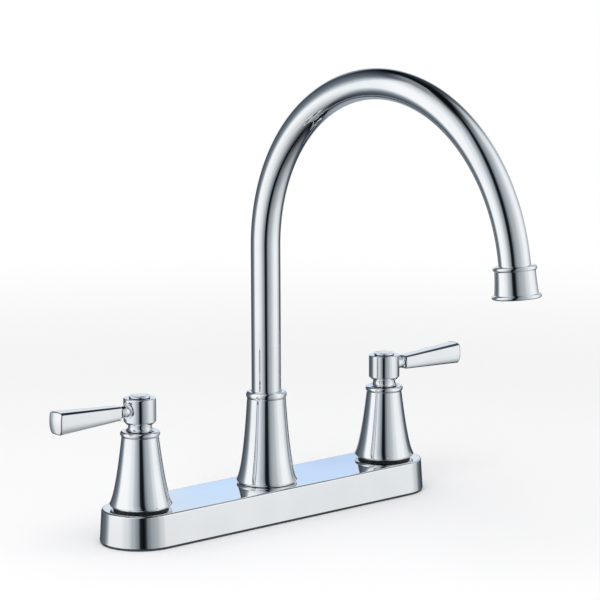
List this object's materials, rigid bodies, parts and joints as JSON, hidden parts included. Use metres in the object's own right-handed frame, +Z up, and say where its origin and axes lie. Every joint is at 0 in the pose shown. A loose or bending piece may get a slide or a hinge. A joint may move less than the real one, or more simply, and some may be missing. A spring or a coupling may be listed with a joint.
{
  "type": "two handle kitchen faucet",
  "caption": "Deck-mounted chrome kitchen faucet: long plate with flared bells, a quarter-turn lever at either end and a high swivelling gooseneck spout with an aerator.",
  "frame": {"origin": "centre of the gasket's underside, where the faucet sits on the sink deck, midway between the two handles", "axes": "+Z up along the spout and the handle axes, -Y to the front where the spout points at rest, +X to the cold handle's side"},
  "size_m": [0.3326, 0.2585, 0.3407],
  "materials": {
    "chrome": "polished chrome plate",
    "brass": "as cast and turned",
    "copper": "drawn copper tube",
    "steel": "stainless steel, plain",
    "black_rubber": "smooth black",
    "gasket": "dark grey foam rubber",
    "grey_plastic": "moulded, dark grey",
    "white_plastic": "moulded, white",
    "ceramic": "lapped"
  },
  "bodies": {
    "base": {"base_gasket": "gasket", "body_nuts": "brass", "cold_bell": "chrome", "cold_bell_seal": "black_rubber", "cold_cartridge_body": "brass", "cold_crossover_tube": "copper", "cold_fixed_disc": "ceramic", "cold_lock_nut": "grey_plastic", "cold_mounting_washer": "steel", "cold_seat_seal": "black_rubber", "cold_valve_body": "brass", "deck_plate": "chrome", "glide_ring": "white_plastic", "hot_bell": "chrome", "hot_bell_seal": "black_rubber", "hot_cartridge_body": "brass", "hot_crossover_tube": "copper", "hot_fixed_disc": "ceramic", "hot_lock_nut": "grey_plastic", "hot_mounting_washer": "steel", "hot_seat_seal": "black_rubber", "hot_valve_body": "brass", "spout_bell": "chrome", "spout_post": "brass"},
    "hot_handle": {"hot_moving_disc": "ceramic", "hot_stem": "brass", "hot_stem_o_rings": "black_rubber", "hot_hub": "chrome", "hot_lever": "chrome", "hot_handle_screw": "steel", "hot_index_cap": "chrome"},
    "cold_handle": {"cold_moving_disc": "ceramic", "cold_stem": "brass", "cold_stem_o_rings": "black_rubber", "cold_hub": "chrome", "cold_lever": "chrome", "cold_handle_screw": "steel", "cold_index_cap": "chrome"},
    "spout": {"spout_tube": "chrome", "spout_bushing": "brass", "spout_o_rings": "black_rubber", "spout_tip": "chrome", "aerator_washer": "black_rubber", "aerator_housing": "chrome", "aerator_screen": "steel", "aerator_insert": "white_plastic"}
  },
  "joints": [
    {"name": "hot_handle_turn", "type": "hinge", "parent": "base", "child": "hot_handle", "pos_m": [-0.1016, 0, 0.0819], "axis": [0, 0, 1], "range_deg": [0, 90]},
    {"name": "cold_handle_turn", "type": "hinge", "parent": "base", "child": "cold_handle", "pos_m": [0.1016, 0, 0.0819], "axis": [0, 0, 1], "range_deg": [-90, 0]},
    {"name": "spout_swivel", "type": "hinge", "parent": "base", "child": "spout", "pos_m": [0, 0, 0.0522], "axis": [0, 0, 1], "continuous": true}
  ]
}
